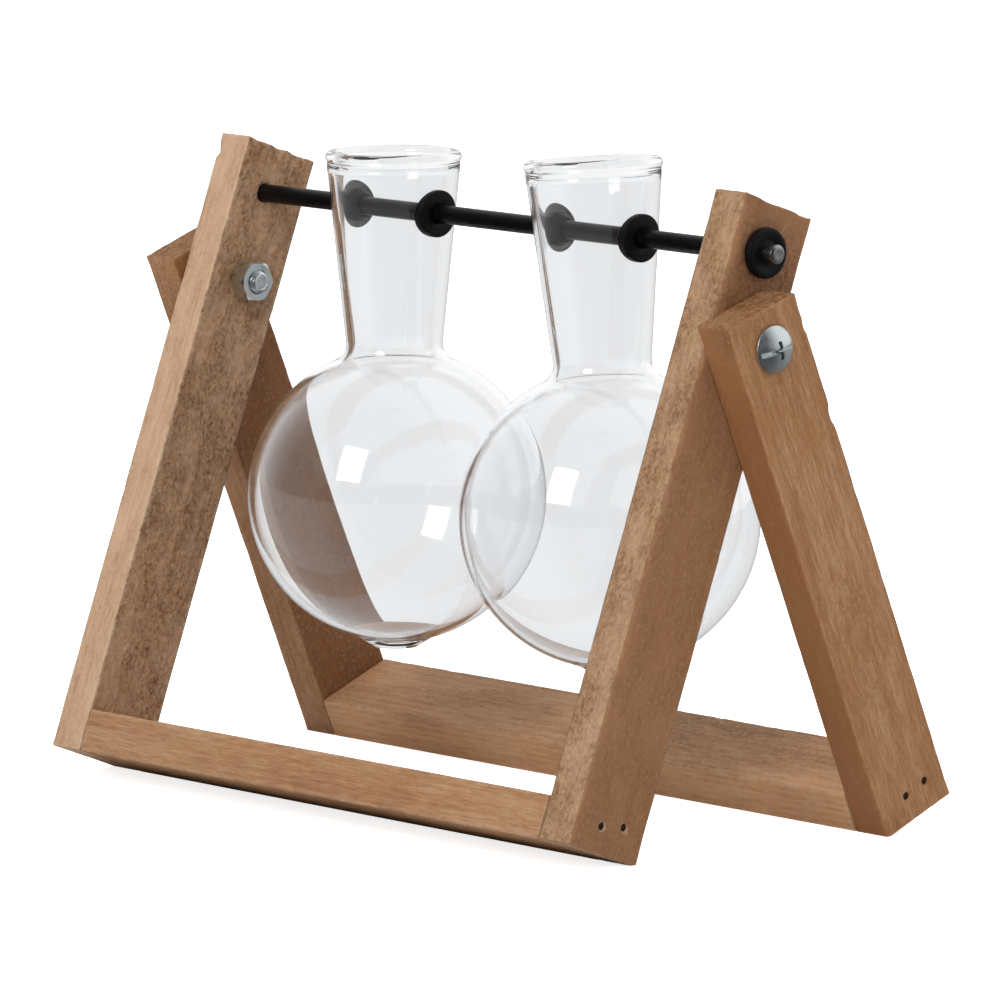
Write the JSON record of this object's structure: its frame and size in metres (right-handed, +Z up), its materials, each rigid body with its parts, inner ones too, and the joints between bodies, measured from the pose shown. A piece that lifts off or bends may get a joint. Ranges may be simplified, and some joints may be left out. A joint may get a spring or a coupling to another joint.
{
  "type": "propagation vase",
  "caption": "Round-bulb glass vases with flared necks, hung by rubber grommets from a metal rod across a folding A-shaped wooden stand, for rooting plant cuttings in water.",
  "frame": {"origin": "on the floor, under the middle of the stand's box", "axes": "+X along the rod towards the right vase, -Y towards the front, where the legs that carry the rod stand, +Z up"},
  "size_m": [0.2406, 0.1246, 0.1764],
  "materials": {
    "oiled_wood": "oiled, rough sawn",
    "clear_glass": "clear, blown",
    "black_rubber": "matte",
    "blackened_rod": "satin black with bare bevelled ends",
    "brad_steel": "dull",
    "zinc_steel": "bright zinc plate"
  },
  "bodies": {
    "front_frame": {"front_leg_left": "oiled_wood", "front_leg_right": "oiled_wood", "front_rail": "oiled_wood", "front_brad_left_1": "brad_steel", "front_brad_left_2": "brad_steel", "front_brad_right_1": "brad_steel", "front_brad_right_2": "brad_steel", "pivot_screw_left": "zinc_steel", "pivot_screw_right": "zinc_steel", "pivot_nut_left": "zinc_steel", "pivot_nut_right": "zinc_steel"},
    "back_frame": {"back_leg_left": "oiled_wood", "back_leg_right": "oiled_wood", "back_rail": "oiled_wood", "back_brad_left_1": "brad_steel", "back_brad_left_2": "brad_steel", "back_brad_right_1": "brad_steel", "back_brad_right_2": "brad_steel"},
    "rod": {"rod": "blackened_rod", "rod_stopper_left": "black_rubber", "rod_stopper_right": "black_rubber"},
    "vase_left": {"vase_left": "clear_glass", "grommet_left_outer": "black_rubber", "grommet_left_inner": "black_rubber"},
    "vase_right": {"vase_right": "clear_glass", "grommet_right_outer": "black_rubber", "grommet_right_inner": "black_rubber"}
  },
  "joints": [
    {"name": "stand_fold", "type": "hinge", "parent": "front_frame", "child": "back_frame", "pos_m": [0, -0.00279, 0.1319], "axis": [-1, 0, 0], "range_deg": [-40, 31.7]},
    {"name": "rod_turn", "type": "hinge", "parent": "front_frame", "child": "rod", "pos_m": [0, 0.0041, 0.15548], "axis": [1, 0, 0], "continuous": true},
    {"name": "vase_left_swing", "type": "hinge", "parent": "rod", "child": "vase_left", "pos_m": [0, 0.0041, 0.15548], "axis": [1, 0, 0], "continuous": true},
    {"name": "vase_right_swing", "type": "hinge", "parent": "rod", "child": "vase_right", "pos_m": [0, 0.0041, 0.15548], "axis": [1, 0, 0], "continuous": true}
  ]
}
